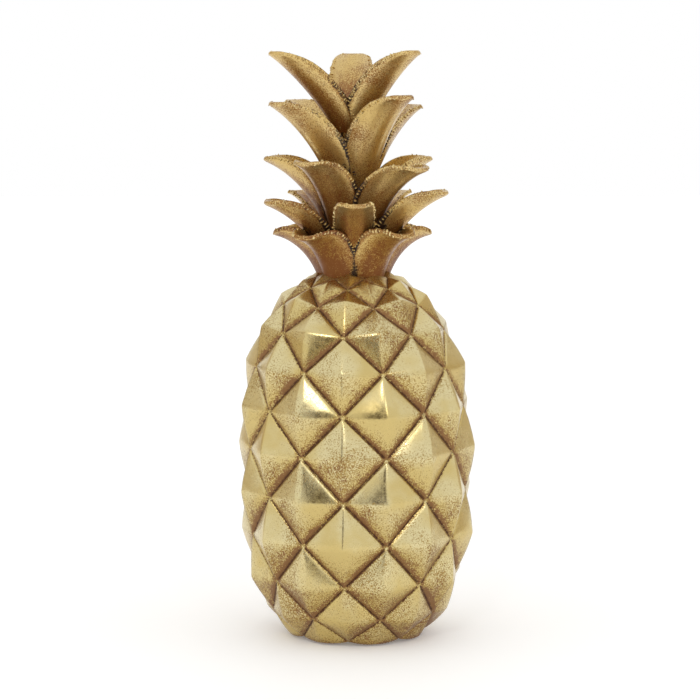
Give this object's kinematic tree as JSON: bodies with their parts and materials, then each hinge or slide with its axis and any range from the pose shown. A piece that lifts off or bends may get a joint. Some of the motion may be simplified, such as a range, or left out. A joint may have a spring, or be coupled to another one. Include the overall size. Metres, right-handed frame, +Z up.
{
  "type": "pineapple sculpture",
  "caption": "Cast pineapple ornament: a barrel of raised four-sided eyes under a crown of thick curling leaves, with a flat underside to stand on.",
  "frame": {"origin": "centre of the outline, at the flat underside", "axes": "+Z up the pineapple to its crown, the picture's front faces -Y"},
  "size_m": [0.1334, 0.1334, 0.33],
  "materials": {
    "gold_leaf": "satin aged gold leaf with brown patina in the grooves"
  },
  "bodies": {
    "root": {"pineapple": "gold_leaf"}
  },
  "joints": []
}
